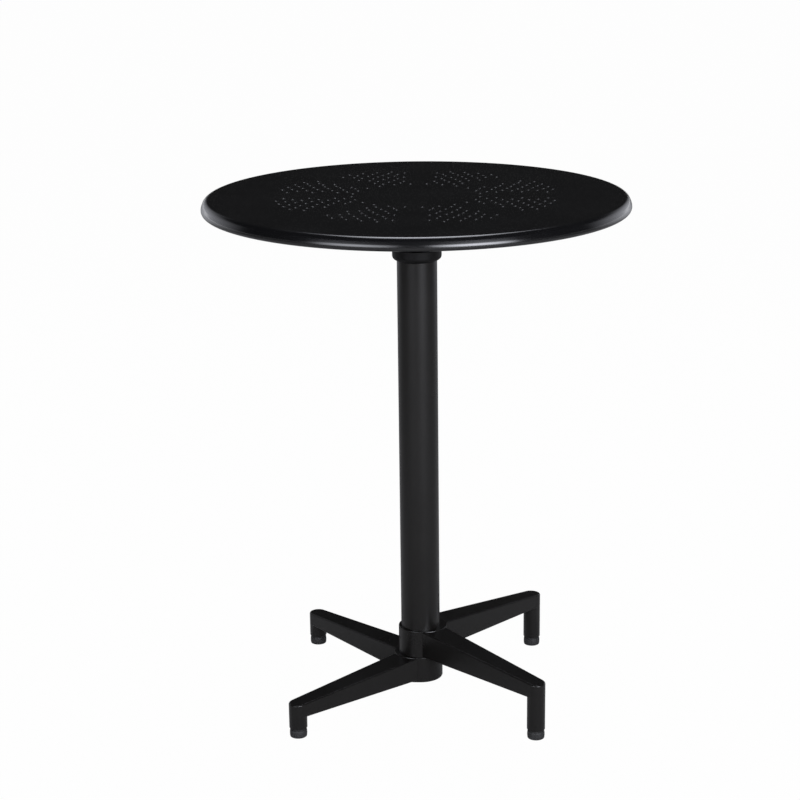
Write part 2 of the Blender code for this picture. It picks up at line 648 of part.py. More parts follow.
# Levelling foot: a stud in a threaded insert, with a barrel-shaped pad
def make_foot(name, angle):
    foot = Matrix.Rotation(math.radians(angle), 4, "Z") @ Matrix.Translation((ARM_REACH, 0, 0))
    insert = [
        (INSERT_RADIUS, POST_UNDER + INSERT_LENGTH),
        (INSERT_RADIUS, POST_UNDER),
        (STUD_RADIUS + GAP, POST_UNDER),
        (STUD_RADIUS + GAP, POST_UNDER + INSERT_LENGTH),
    ]
    part(f"foot_insert_{name}", turned(insert, SCREW_SIDES, True, foot), zinc)
    axis = joint_axis(f"foot_axis_{name}", foot.translation)
    stud = cylinder(STUD_RADIUS, PAD_FLOOR + GAP, PAD_FLOOR + STUD_LENGTH, SCREW_SIDES, foot)
    part(f"foot_stud_{name}", stud, zinc, axis)
    shoulder = PAD_HEIGHT - PAD_GROOVE_WIDTH
    pad = [
        (0, PAD_FLOOR),
        (STUD_RADIUS + GAP, PAD_FLOOR),
        (STUD_RADIUS + GAP, PAD_HEIGHT),
        (PAD_RADIUS - PAD_GROOVE, PAD_HEIGHT),
        (PAD_RADIUS - PAD_GROOVE, shoulder),
        (PAD_RADIUS - PAD_BARREL, shoulder),
        (PAD_RADIUS, shoulder / 2),
        (PAD_RADIUS - PAD_BARREL, shoulder / 6),
        (PAD_RADIUS - PAD_GROOVE, 0),
        (0, 0),
    ]
    part(f"foot_pad_{name}", turned(pad, PIN_SIDES, place=foot), grey_plastic, axis)


tilt_axis = joint_axis("tilt_axis", (PIVOT_OFFSET, 0, PIVOT_Z))
latch_axis = joint_axis("latch_axis", (LATCH_X, 0, LATCH_Z))
make_top(tilt_axis)
make_top_plate(tilt_axis)
make_bracket(tilt_axis)
make_bracket_screws(tilt_axis)
make_latch(tilt_axis, latch_axis)
make_pivot()
make_column_head()
make_column()
make_base()
for foot_name, foot_angle in {**LOW_ARM_ANGLES, **HIGH_ARM_ANGLES}.items():
    make_foot(foot_name, foot_angle)
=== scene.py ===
import json
import math
import bmesh
import bpy
from mathutils import Matrix, Vector


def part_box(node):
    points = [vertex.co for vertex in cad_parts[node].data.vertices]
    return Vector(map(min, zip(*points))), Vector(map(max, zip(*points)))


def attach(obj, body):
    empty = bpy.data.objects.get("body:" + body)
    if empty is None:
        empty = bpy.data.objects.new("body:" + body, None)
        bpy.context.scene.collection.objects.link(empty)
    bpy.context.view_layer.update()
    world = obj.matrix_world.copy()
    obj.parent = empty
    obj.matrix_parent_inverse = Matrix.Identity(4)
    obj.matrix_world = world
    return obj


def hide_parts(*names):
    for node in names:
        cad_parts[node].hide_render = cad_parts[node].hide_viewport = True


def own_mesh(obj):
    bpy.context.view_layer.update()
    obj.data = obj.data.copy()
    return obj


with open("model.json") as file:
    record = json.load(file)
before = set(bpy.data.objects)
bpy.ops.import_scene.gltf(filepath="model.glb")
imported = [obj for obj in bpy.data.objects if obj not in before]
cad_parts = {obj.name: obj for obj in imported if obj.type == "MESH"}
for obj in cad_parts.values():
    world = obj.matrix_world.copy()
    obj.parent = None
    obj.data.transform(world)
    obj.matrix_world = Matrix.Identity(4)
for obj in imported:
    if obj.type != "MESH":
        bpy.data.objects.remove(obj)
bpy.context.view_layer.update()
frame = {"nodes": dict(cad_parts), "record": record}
nodes = frame["nodes"]
record = frame["record"]
print("frame loaded:", len(nodes), "nodes")


# camera: where the photograph was taken from, in metres and degrees
cameraSet = {
    "azimuth": 2.24,
    "distance": 2.7516,
    "height": 1.2449,
    "pitch": 16.16,
    "roll": -0.568,
    "lens": 89.72,
    "sensor": 36,
    "shiftX": -0.0229,
}


def makeCamera(s):
    turn, pitch, roll = (math.radians(s[k]) for k in ("azimuth", "pitch", "roll"))
    ahead = Vector((-math.sin(turn), math.cos(turn), 0))
    right = Vector((math.cos(turn), math.sin(turn), 0))
    look = ahead * math.cos(pitch) - Vector((0, 0, math.sin(pitch)))
    up = ahead * math.sin(pitch) + Vector((0, 0, math.cos(pitch)))
    across = right * math.cos(roll) + up * math.sin(roll)
    upright = up * math.cos(roll) - right * math.sin(roll)
    data = bpy.data.cameras.new("photoCamera")
    data.lens = s["lens"]
    data.sensor_width = s["sensor"]
    data.shift_x = s["shiftX"]
    camera = bpy.data.objects.new("photoCamera", data)
    bpy.context.scene.collection.objects.link(camera)
    place = Vector((0, 0, s["height"])) - ahead * s["distance"]
    axes = Matrix((across, upright, -look)).transposed().to_4x4()
    camera.matrix_world = Matrix.Translation(place) @ axes
    bpy.context.scene.camera = camera


makeCamera(cameraSet)
print("camera placed")


# colours are written as sRGB hex and turned to linear here
def linear(hexColour):
    channels = [int(hexColour[i:i + 2], 16) / 255 for i in (1, 3, 5)]
    values = [c / 12.92 if c <= 0.04045 else ((c + 0.055) / 1.055) ** 2.4 for c in channels]
    return (*values, 1)


# adds one node, sets its properties and plain inputs, and links the inputs that are sockets
def addNode(tree, kind, props=None, **inputs):
    node = tree.nodes.new(kind)
    for key, value in (props or {}).items():
        setattr(node, key, value)
    for key, value in inputs.items():
        socket = node.inputs[int(key[1:])] if key[0] == "_" else node.inputs[key.replace("_", " ")]
        sources = value if isinstance(value, list) else [value]
        if isinstance(sources[0], bpy.types.NodeSocket):
            for source in sources:
                tree.links.new(source, socket)
        else:
            socket.default_value = value
    return node


def newMaterial(name):
    material = bpy.data.materials.new(name)
    material.use_nodes = True
    tree = material.node_tree
    tree.nodes.clear()
    output = addNode(tree, "ShaderNodeOutputMaterial")
    return material, tree, output


# roughness that drifts softly over the surface, as handling and curing leave it; noise keeps near 0.3 to 0.7
def cloudedRoughness(tree, place, roughness, spread, cloudMm):
    cloud = addNode(tree, "ShaderNodeTexNoise", Vector=place, Scale=1000 / cloudMm, Detail=3.0).outputs[0]
    low, high = roughness - spread, roughness + spread
    return addNode(tree, "ShaderNodeMapRange", _0=cloud, _1=0.3, _2=0.7, _3=low, _4=high).outputs[0]


# powder coat: sprayed polymer baked on steel, deep black with a faint orange peel under its gloss
def powderCoat(name, colour, roughness, spread, ior, peelMm, peelDepthMm):
    material, tree, output = newMaterial(name)
    place = addNode(tree, "ShaderNodeTexCoord").outputs["Object"]
    rough = cloudedRoughness(tree, place, roughness, spread, cloudMm=70)
    peel = addNode(tree, "ShaderNodeTexNoise", Vector=place, Scale=1000 / peelMm, Detail=2.0).outputs[0]
    bump = addNode(tree, "ShaderNodeBump", Strength=1.0, Distance=peelDepthMm / 1000, Height=peel).outputs[0]
    shader = addNode(
        tree, "ShaderNodeBsdfPrincipled", Base_Color=linear(colour), IOR=ior, Roughness=rough, Normal=bump
    )
    tree.links.new(shader.outputs[0], output.inputs[0])
    return material


# bright zinc: thin plating on turned and pressed steel, slightly cloudy
def zincPlate(name, colour, roughness, spread):
    material, tree, output = newMaterial(name)
    place = addNode(tree, "ShaderNodeTexCoord").outputs["Object"]
    rough = cloudedRoughness(tree, place, roughness, spread, cloudMm=4.5)
    shader = addNode(
        tree, "ShaderNodeBsdfPrincipled", Base_Color=linear(colour), Metallic=1.0, Roughness=rough
    )
    tree.links.new(shader.outputs[0], output.inputs[0])
    return material


# moulded plastic: fine spark-eroded grain from the mould, drawn coarser than it is so that it shows
def mouldedPlastic(name, colour, roughness, spread, ior, grainMm, grainDepthMm):
    material, tree, output = newMaterial(name)
    place = addNode(tree, "ShaderNodeTexCoord").outputs["Object"]
    rough = cloudedRoughness(tree, place, roughness, spread, cloudMm=11)
    grain = addNode(tree, "ShaderNodeTexNoise", Vector=place, Scale=1000 / grainMm, Detail=3.0).outputs[0]
    depth = grainDepthMm / 1000
    bump = addNode(tree, "ShaderNodeBump", Strength=1.0, Distance=depth, Height=grain).outputs[0]
    shader = addNode(
        tree, "ShaderNodeBsdfPrincipled", Base_Color=linear(colour), IOR=ior, Roughness=rough, Normal=bump
    )
    tree.links.new(shader.outputs[0], output.inputs[0])
    return material


# the top is smoothest, tube and castings are satin, and the cast head gets a darker, duller copy of the
# coat: painted shade for the shadow it stands in under the top
glossCoat = powderCoat(
    "semi_gloss_black_powder_coat", "#0d0d0e",
    roughness=0.17, spread=0.02, ior=1.5, peelMm=2.2, peelDepthMm=0.0008,
)
satinCoat = powderCoat(
    "satin_black_powder_coat", "#0f0e0d",
    roughness=0.30, spread=0.03, ior=1.375, peelMm=1.6, peelDepthMm=0.002,
)
# painted shade: a darker, duller copy of the black powder coat for the head, which sits in shadow under the
# top
shadedHeadCoat = powderCoat(
    "matt_black_coat_with_painted_shade", "#080808",
    roughness=0.55, spread=0.04, ior=1.24, peelMm=0.9, peelDepthMm=0.006,
)
zinc = zincPlate("bright_zinc_plate", "#b9bcc2", roughness=0.32, spread=0.07)
nylon = mouldedPlastic(
    "black_moulded_nylon", "#1c1c1c",
    roughness=0.5, spread=0.04, ior=1.5, grainMm=0.5, grainDepthMm=0.01,
)
padPlastic = mouldedPlastic(
    "dark_grey_moulded_polyethylene", "#252525",
    roughness=0.52, spread=0.04, ior=1.38, grainMm=0.8, grainDepthMm=0.004,
)
slotCoats = {
    "gloss_black_powder_coat": glossCoat,
    "satin_black_powder_coat": satinCoat,
    "zinc_plated_steel": zinc,
    "black_nylon": nylon,
    "dark_grey_plastic": padPlastic,
}
for entry in record["subparts"]:
    node = nodes[entry["node"]]
    node.data.materials.clear()
    node.data.materials.append(slotCoats[entry["material_slot"]])
print("finishes made")


# makers: the shapes that the pieces below are built from
bodyOf = {node: body for body, members in record["behaviour"]["bodies"].items() for node in members}
slotOf = {entry["node"]: entry["material_slot"] for entry in record["subparts"]}
tiltPivot, latchPivot = (Vector(joint["pos_m"]) for joint in record["behaviour"]["joints"][:2])
gap = 0.0003  # clearance that the CAD leaves between pieces
crease = math.radians(35)  # sharper edges are softened, or shaded as edges
levelNormal = 0.9999  # a face with more of its normal upright counts as level
alongY = Matrix.Rotation(-math.pi / 2, 4, "X")
inXz = Matrix.Rotation(math.pi / 2, 4, "X")


def arcPoints(centre, radius, start, end, steps):
    angles = [math.radians(start + (end - start) * i / steps) for i in range(steps + 1)]
    return [(centre[0] + radius * math.cos(a), centre[1] + radius * math.sin(a)) for a in angles]


def newPiece(name, shape, place):
    bmesh.ops.recalc_face_normals(shape, faces=shape.faces)
    mesh = bpy.data.meshes.new(name)
    shape.to_mesh(mesh)
    shape.free()
    mesh.transform(place)
    piece = bpy.data.objects.new(name, mesh)
    bpy.context.scene.collection.objects.link(piece)
    return piece


# depth of a screw thread's groove at a height and a share of a turn
def threadCut(thread, height, share):
    if not thread or not thread["low"] <= height <= thread["high"]:
        return 0
    return thread["depth"] * abs(2 * ((height / thread["pitch"] - share) % 1) - 1)


# rows close enough together for the lathe to cut a thread into
def threadRows(radius, thread):
    length = thread["high"] - thread["low"]
    rows = round(length / thread["pitch"] * thread["rows"])
    return [(radius, thread["low"] + length * i / rows) for i in range(rows + 1)]


# turned shape: (radius, height) points spun round Z; open ends off the axis are capped
def lathe(name, profile, sides, closed=False, place=Matrix(), thread=None):
    shape = bmesh.new()
    rings = []
    for radius, height in profile:
        ring = []
        for share in (i / sides for i in range(sides if radius > 0 else 1)):
            turn = 2 * math.pi * share
            reach = radius - threadCut(thread, height, share) if radius > 0 else 0
            ring.append(shape.verts.new((reach * math.cos(turn), reach * math.sin(turn), height)))
        rings.append(ring)
    for low, high in zip(rings, rings[1:] + (rings[:1] if closed else [])):
        for i in range(sides):
            j = (i + 1) % sides
            corners = [low[i % len(low)], low[j % len(low)], high[j % len(high)], high[i % len(high)]]
            shape.faces.new(list(dict.fromkeys(corners)))
    if not closed:
        for ring in (rings[0], rings[-1]):
            if len(ring) > 1:
                shape.faces.new(ring)
    return newPiece(name, shape, place)


# flat outline drawn out along Z; low and high are one level each or a level for each point
def prism(name, outline, low, high, place=Matrix()):
    shape = bmesh.new()
    lows = low if isinstance(low, list) else [low] * len(outline)
    highs = high if isinstance(high, list) else [high] * len(outline)
    under = [shape.verts.new((x, y, z)) for (x, y), z in zip(outline, lows)]
    over = [shape.verts.new((x, y, z)) for (x, y), z in zip(outline, highs)]
    shape.faces.new(under)
    shape.faces.new(over)
    for i in range(len(outline)):
        j = (i + 1) % len(outline)
        shape.faces.new((under[i], under[j], over[j], over[i]))
    return newPiece(name, shape, place)


# sets a piece's modifiers into its mesh
def bake(piece):
    graph = bpy.context.evaluated_depsgraph_get()
    mesh = bpy.data.meshes.new_from_object(
        piece.evaluated_get(graph), preserve_all_data_layers=True, depsgraph=graph
    )
    piece.modifiers.clear()
    piece.data = mesh
    return piece


def soften(piece, width, segments=3):
    step = piece.modifiers.new("edges", "BEVEL")
    step.width = width
    step.segments = segments
    step.limit_method = "ANGLE"
    step.angle_limit = crease
    return bake(piece)


def carve(piece, operation, *tools):
    for tool in tools:
        step = piece.modifiers.new("carve", "BOOLEAN")
        step.operation = operation
        step.solver = "EXACT"
        step.object = tool
    bake(piece)
    for tool in tools:
        bpy.data.objects.remove(tool, do_unlink=True)
    return piece


# a CAD shape that is right as it is: merged, freed of its triangles and given softened edges
def refine(node, name, width):
    shape = bmesh.new()
    shape.from_mesh(nodes[node].data)
    bmesh.ops.remove_doubles(shape, verts=shape.verts, dist=0.00001)
    bmesh.ops.dissolve_limit(shape, angle_limit=math.radians(1), verts=shape.verts, edges=shape.edges)
    return soften(newPiece(name, shape, Matrix()), width)


# geometry nodes: one shape set at many places, sized alike, made real and coated
def spread(name, shape, places, size, coat):
    mesh = bpy.data.meshes.new(name)
    mesh.from_pydata(places, [], [])
    piece = bpy.data.objects.new(name, mesh)
    bpy.context.scene.collection.objects.link(piece)
    tree = bpy.data.node_groups.new(name + "Spread", "GeometryNodeTree")
    tree.interface.new_socket("Places", in_out="INPUT", socket_type="NodeSocketGeometry")
    shapeIn = tree.interface.new_socket("Shape", in_out="INPUT", socket_type="NodeSocketObject")
    sizeIn = tree.interface.new_socket("Size", in_out="INPUT", socket_type="NodeSocketFloat")
    coatIn = tree.interface.new_socket("Coat", in_out="INPUT", socket_type="NodeSocketMaterial")
    tree.interface.new_socket("Spread", in_out="OUTPUT", socket_type="NodeSocketGeometry")
    given = addNode(tree, "NodeGroupInput").outputs
    one = addNode(tree, "GeometryNodeObjectInfo", Object=given["Shape"]).outputs["Geometry"]
    copies = addNode(
        tree, "GeometryNodeInstanceOnPoints", Points=given["Places"], Instance=one, Scale=given["Size"]
    ).outputs[0]
    solid = addNode(tree, "GeometryNodeRealizeInstances", Geometry=copies).outputs[0]
    coated = addNode(tree, "GeometryNodeSetMaterial", Geometry=solid, Material=given["Coat"]).outputs[0]
    addNode(tree, "NodeGroupOutput", Spread=coated)
    step = piece.modifiers.new("spread", "NODES")
    step.node_group = tree
    step[shapeIn.identifier] = shape
    step[sizeIn.identifier] = size
    step[coatIn.identifier] = coat
    bake(piece)
    bpy.data.objects.remove(shape, do_unlink=True)
    return piece


# shades a finished piece, coats it and puts it in the place of its CAD nodes
def dress(piece, *stoodFor, coat=None, flatWithin=0):
    mesh = piece.data
    mesh.shade_smooth()
    mesh.set_sharp_from_angle(angle=crease)
    # level faces between punched holes stay flat, so that no slant spreads over them
    for face in mesh.polygons:
        if abs(face.normal.z) > levelNormal and face.center.xy.length < flatWithin:
            face.use_smooth = False
    piece.modifiers.new("normals", "WEIGHTED_NORMAL").keep_sharp = True
    bake(piece)
    piece.data.materials.clear()
    piece.data.materials.append(coat or slotCoats[slotOf[stoodFor[0]]])
    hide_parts(*stoodFor)
    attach(piece, bodyOf[stoodFor[0]])
    return piece


def disc(name, radius, low, high, sides, edge, place=Matrix()):
    profile = [(0, low), (radius - edge, low), (radius, low + edge)]
    profile += [(radius, high - edge), (radius - edge, high), (0, high)]
    return lathe(name, profile, sides, place=place)


def bore(radius, low, high, sides=48, place=Matrix()):
    return lathe("bore", [(0, low), (radius, low), (radius, high), (0, high)], sides, place=place)


# table top: pressed sheet with a rolled rim, pierced in eight fans of plain concentric rows
topSet = {
    "sheet": 0.0015,
    "reach": 0.010,
    "bend": 0.0085,
    "shoulder": 0.012,
    "curl": 0.005,
    "lip": 0.004,
    "flatMargin": 0.002,
    "sides": 192,
}
pierceSet = {
    "fans": 8,
    "fanHalf": 15.5,
    "rows": 10,
    "firstRow": 0.090,
    "rowStep": 0.0118,
    "pitch": 0.0230,
    "holeRadius": 0.0020,
    "holeLip": 0.0010,
    "holeSides": 14,
}


def makeTop(s):
    low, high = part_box("table_top")
    radius, top = high.x, high.z
    widest = low.z + s["curl"]
    bend = (radius - s["reach"], top - s["bend"])
    shoulder = (radius - s["shoulder"], widest)
    curl = (radius - s["curl"], widest)
    across, down = shoulder[0] - bend[0], shoulder[1] - bend[1]
    lean = math.atan2(down, across) + math.acos((s["bend"] - s["shoulder"]) / math.hypot(across, down))
    wall = math.degrees(lean)
    profile = [(bend[0] - s["flatMargin"], top)]
    profile += arcPoints(bend, s["bend"], 90, wall, 8)
    profile += arcPoints(shoulder, s["shoulder"], wall, 0, 10)[:-1]
    profile += arcPoints(curl, s["curl"], 0, -90, 10)
    lip = curl[0] - s["lip"]
    profile += [(lip, low.z), (lip, low.z + s["sheet"])]
    profile += arcPoints(curl, s["curl"] - s["sheet"], -90, 0, 8)[:-1]
    profile += arcPoints(shoulder, s["shoulder"] - s["sheet"], 0, wall, 8)
    profile += arcPoints(bend, s["bend"] - s["sheet"], wall, 90, 6)
    profile += [(bend[0] - s["flatMargin"], top - s["sheet"])]
    return lathe("piercedTop", profile, s["sides"]), top


# geometry nodes: rows of points, thinned to fans, each with a flared punch that is cut from the sheet
def pierce(top, level, sheet, s):
    hole, flare = s["holeRadius"], s["holeLip"]
    under, over = level - 3 * sheet, level + sheet  # the punch starts and ends clear of the sheet
    wide = hole + 1.2 * flare
    flared = arcPoints((hole + flare, level - flare), flare, 180, 100, 4)
    profile = [(0, under), (hole, under)] + flared
    profile += [(wide, level + 0.3 * flare), (wide, over), (0, over)]
    punch = lathe("punch", profile, s["holeSides"])
    tree = bpy.data.node_groups.new("pierceFans", "GeometryNodeTree")
    tree.interface.new_socket("Sheet", in_out="INPUT", socket_type="NodeSocketGeometry")
    punchIn = tree.interface.new_socket("Punch", in_out="INPUT", socket_type="NodeSocketObject")
    firstIn = tree.interface.new_socket("First Row", in_out="INPUT", socket_type="NodeSocketFloat")
    stepIn = tree.interface.new_socket("Row Step", in_out="INPUT", socket_type="NodeSocketFloat")
    halfIn = tree.interface.new_socket("Fan Half", in_out="INPUT", socket_type="NodeSocketFloat")
    coatIn = tree.interface.new_socket("Coat", in_out="INPUT", socket_type="NodeSocketMaterial")
    tree.interface.new_socket("Pierced", in_out="OUTPUT", socket_type="NodeSocketGeometry")
    given = addNode(tree, "NodeGroupInput").outputs
    rows = []
    for row in range(s["rows"]):
        radius = s["firstRow"] + row * s["rowStep"]
        count = s["fans"] * round(2 * math.pi * radius / s["pitch"] / s["fans"])
        reach = addNode(
            tree, "ShaderNodeMath", {"operation": "MULTIPLY_ADD"},
            _0=given["Row Step"], _1=float(row), _2=given["First Row"],
        ).outputs[0]
        ring = addNode(tree, "GeometryNodeMeshCircle", Vertices=count, Radius=reach).outputs[0]
        turn = (0, 0, math.pi / s["fans"] + row % 2 * math.pi / count)  # every other row is staggered
        rows.append(addNode(tree, "GeometryNodeTransform", Geometry=ring, Rotation=turn).outputs[0])
    points = addNode(tree, "GeometryNodeJoinGeometry", Geometry=rows).outputs[0]
    place = addNode(tree, "GeometryNodeInputPosition").outputs[0]
    axes = addNode(tree, "ShaderNodeSeparateXYZ", _0=place).outputs
    angle = addNode(tree, "ShaderNodeMath", {"operation": "ARCTAN2"}, _0=axes[1], _1=axes[0]).outputs[0]
    fan = 2 * math.pi / s["fans"]
    within = addNode(tree, "ShaderNodeMath", {"operation": "FLOORED_MODULO"}, _0=angle, _1=fan).outputs[0]
    aside = addNode(tree, "ShaderNodeMath", {"operation": "SUBTRACT"}, _0=within, _1=fan / 2).outputs[0]
    size = addNode(tree, "ShaderNodeMath", {"operation": "ABSOLUTE"}, _0=aside).outputs[0]
    half = given["Fan Half"]
    outside = addNode(tree, "ShaderNodeMath", {"operation": "GREATER_THAN"}, _0=size, _1=half).outputs[0]
    kept = addNode(tree, "GeometryNodeDeleteGeometry", Geometry=points, Selection=outside).outputs[0]
    tool = addNode(tree, "GeometryNodeObjectInfo", Object=given["Punch"]).outputs["Geometry"]
    punches = addNode(tree, "GeometryNodeInstanceOnPoints", Points=kept, Instance=tool).outputs[0]
    solid = addNode(tree, "GeometryNodeRealizeInstances", Geometry=punches).outputs[0]
    cut = addNode(
        tree, "GeometryNodeMeshBoolean", {"operation": "DIFFERENCE", "solver": "MANIFOLD"},
        Mesh_1=given["Sheet"], Mesh_2=solid,
    ).outputs[0]
    whole = addNode(tree, "GeometryNodeRealizeInstances", Geometry=cut).outputs[0]
    coated = addNode(tree, "GeometryNodeSetMaterial", Geometry=whole, Material=given["Coat"]).outputs[0]
    addNode(tree, "NodeGroupOutput", Pierced=coated)
    step = top.modifiers.new("pierce", "NODES")
    step.node_group = tree
    step[punchIn.identifier] = punch
    step[firstIn.identifier] = s["firstRow"]
    step[stepIn.identifier] = s["rowStep"]
    step[halfIn.identifier] = math.radians(s["fanHalf"])
    step[coatIn.identifier] = glossCoat
    bake(top)
    bpy.data.objects.remove(punch, do_unlink=True)


top, topLevel = makeTop(topSet)
pierce(top, topLevel, topSet["sheet"], pierceSet)
dress(top, "table_top", flatWithin=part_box("table_top")[1].x - topSet["reach"] - topSet["flatMargin"])
print("table top:", len(top.data.polygons), "faces")


# plate under the top: a punched disc, held to the sheet by short welds round its edge
plateSet = {"edge": 0.0008, "sides": 128, "screwBore": 0.0033, "boreSides": 32}
weldSet = {"runs": 6, "runAngle": 17, "lobes": 13, "lobe": 0.0019, "bite": 0.0006, "firstRun": 15}
screwNodes = [f"bracket_screw_{number}" for number in (1, 2, 3, 4)]


def middle(node):
    low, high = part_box(node)
    return (low + high) / 2


def weldBeads(s, radius, level):
    lobe = bmesh.new()
    bmesh.ops.create_icosphere(lobe, subdivisions=2, radius=1)
    bead = newPiece("bead", lobe, Matrix())
    places = []
    for run in range(s["runs"]):
        start = s["firstRun"] + 360 / s["runs"] * run
        spots = arcPoints((0, 0), radius - s["bite"], start, start + s["runAngle"], s["lobes"] - 1)
        places += [(x, y, level - s["lobe"]) for x, y in spots]
    return spread("weldBeads", bead, places, s["lobe"], satinCoat)


def makePlate(s, weld):
    low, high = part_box("top_plate")
    plate = disc("topPlate", high.x, low.z, high.z, s["sides"], s["edge"])
    holes = []
    for node in screwNodes:
        spot = middle(node)
        place = Matrix.Translation((spot.x, spot.y, 0))
        holes.append(bore(s["screwBore"], low.z - gap, high.z + gap, s["boreSides"], place))
    carve(plate, "DIFFERENCE", *holes)
    beads = weldBeads(weld, high.x, high.z + gap)
    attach(beads, bodyOf["top_plate"])
    return plate


dress(makePlate(plateSet, weldSet), "top_plate")


# pan-head screws with a cross recess, driven from below
screwSet = {
    "shank": 0.003,
    "headRadius": 0.005,
    "head": 0.0035,
    "crown": 0.0021,
    "slotHalf": 0.00055,
    "slotReach": 0.0027,
    "slotDepth": 0.0018,
    "sides": 40,
}


def makeScrews(s):
    low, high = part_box(screwNodes[0])
    seat = low.z + s["head"]
    profile = [(0, high.z), (s["shank"], high.z), (s["shank"], seat), (s["headRadius"], seat)]
    for angle in (math.radians(15 * i) for i in range(6)):
        side = s["headRadius"] - s["crown"] * (1 - math.cos(angle))
        profile.append((side, low.z + s["crown"] * (1 - math.sin(angle))))
    profile.append((0, low.z))
    screw = lathe("screw", profile, s["sides"])
    half, reach = s["slotHalf"], s["slotReach"]
    bar = [(-reach, -half), (reach, -half), (reach, half), (-reach, half)]
    turned = Matrix.Rotation(math.pi / 2, 4, "Z")
    slots = [prism("slot", bar, low.z - gap, low.z + s["slotDepth"], place) for place in (Matrix(), turned)]
    carve(screw, "DIFFERENCE", *slots)
    places = [(middle(node).x, middle(node).y, 0) for node in screwNodes]
    return spread("bracketScrews", screw, places, 1.0, zinc)


dress(makeScrews(screwSet), *screwNodes)


# bracket and lever: pressed and cast steel, their CAD shapes with broken edges
edgeSet = {"bracket": 0.0007, "lever": 0.0014}
dress(refine("tilt_bracket", "tiltBracket", edgeSet["bracket"]), "tilt_bracket")
dress(refine("latch_lever", "latchLever", edgeSet["lever"]), "latch_lever")
print("bracket and lever made")


# pivot and latch hardware, turned about axes along Y
tiltPlace = Matrix.Translation(tiltPivot) @ alongY
latchPlace = Matrix.Translation(latchPivot) @ alongY
boltSet = {
    "radius": 0.005,
    "hex": 0.0096,
    "head": 0.006,
    "chamfer": 0.0011,
    "threaded": 0.014,
    "thread": {"pitch": 0.0015, "depth": 0.0008, "rows": 8},
    "sides": 40,
    "turnedSides": 72,
}
bushSet = {"bore": 0.0053, "radius": 0.0073, "flange": 0.002, "edge": 0.0004, "sides": 56}
pinSet = {"radius": 0.003, "head": 0.002, "edge": 0.0005, "sides": 40}
springSet = {"wire": 0.0011, "turns": 4, "steps": 36, "sides": 12, "keep": 0.785}


# hexagon with the turned chamfers that nuts and bolt heads have
def hexagon(s, name, low, high, place):
    radius, chamfer = s["hex"], s["chamfer"]
    flat = radius * math.cos(math.pi / 6)
    wide = radius * 1.01  # just clear of the corners
    bar = prism(name, arcPoints((0, 0), radius, 90, 390, 5), low, high, place)
    turned = [(0, low), (flat, low), (wide, low + chamfer), (wide, high - chamfer), (flat, high), (0, high)]
    return carve(bar, "INTERSECT", lathe("turned", turned, s["turnedSides"], place=place))


def makeNut(s, name, low, high, place):
    nut = hexagon(s, name, low, high, place)
    return carve(nut, "DIFFERENCE", bore(s["radius"] + gap, low - gap, high + gap, s["sides"], place))


def makeBolt(s):
    low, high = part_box("pivot_bolt")
    core = s["radius"] - s["thread"]["depth"]
    neck = high.y - s["head"] / 2
    thread = dict(s["thread"], low=low.y + s["thread"]["depth"], high=low.y + s["threaded"])
    profile = [(0, low.y), (core, low.y)] + threadRows(s["radius"], thread)
    runOut = thread["high"] + s["thread"]["depth"]
    profile += [(s["radius"], runOut), (s["radius"], neck), (0, neck)]
    bolt = lathe("pivotBolt", profile, s["sides"], place=tiltPlace, thread=thread)
    head = hexagon(s, "head", high.y - s["head"], high.y, tiltPlace)
    return carve(bolt, "UNION", head)


def makeBush(s, node, name):
    low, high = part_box(node)
    outer, inner = max(abs(low.y), abs(high.y)), min(abs(low.y), abs(high.y))
    wide, edge = (high.z - low.z) / 2, s["edge"]
    seat = outer - s["flange"]
    profile = [(wide - edge, outer), (wide, outer - edge), (wide, seat), (s["radius"], seat)]
    profile += [(s["radius"], inner + edge), (s["radius"] - edge, inner)]
    profile += [(s["bore"], inner), (s["bore"], outer)]
    flip = Matrix() if high.y > 0 else Matrix.Rotation(math.pi, 4, "X")
    return lathe(name, profile, s["sides"], closed=True, place=tiltPlace @ flip)


def makeKeeper(s):
    low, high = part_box("latch_keeper")
    place = Matrix.Translation((middle("latch_keeper").x, 0, middle("latch_keeper").z)) @ alongY
    return disc("latchKeeper", s["radius"], low.y, high.y, s["sides"], s["edge"], place)


# pin with a domed rivet head at each end
def makeLatchPin(s):
    low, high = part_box("latch_pin")
    wide, seat = (high.z - low.z) / 2, high.y - s["head"]
    dome = [(0, high.y)]
    for angle in (math.radians(90 - 15 * i) for i in range(1, 7)):
        dome.append((wide * math.cos(angle), seat + s["head"] * math.sin(angle)))
    half = dome + [(s["radius"], seat)]
    profile = half + [(radius, -height) for radius, height in reversed(half)]
    return lathe("latchPin", profile, s["sides"], place=latchPlace)


# coil spring: round wire swept up a helix between the lever and the plate
def makeSpring(s):
    low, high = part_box("latch_spring")
    spot, wire = middle("latch_spring"), s["wire"] / 2
    coil = (high.y - low.y) / 2 - wire
    rise = high.z - low.z - 2 * wire
    steps = s["turns"] * s["steps"]
    shape = bmesh.new()
    rings = []
    for share in (i / steps for i in range(steps + 1)):
        turn = 2 * math.pi * s["turns"] * share
        ring = []
        for x, z in arcPoints((coil, low.z + wire + rise * share), wire, 0, 360, s["sides"])[:-1]:
            ring.append(shape.verts.new((spot.x + x * math.cos(turn), spot.y + x * math.sin(turn), z)))
        rings.append(ring)
    for near, far in zip(rings, rings[1:]):
        for i in range(s["sides"]):
            j = (i + 1) % s["sides"]
            shape.faces.new((near[i], near[j], far[j], far[i]))
    shape.faces.new(rings[0])
    shape.faces.new(rings[-1])
    return newPiece("latchSpring", shape, Matrix())


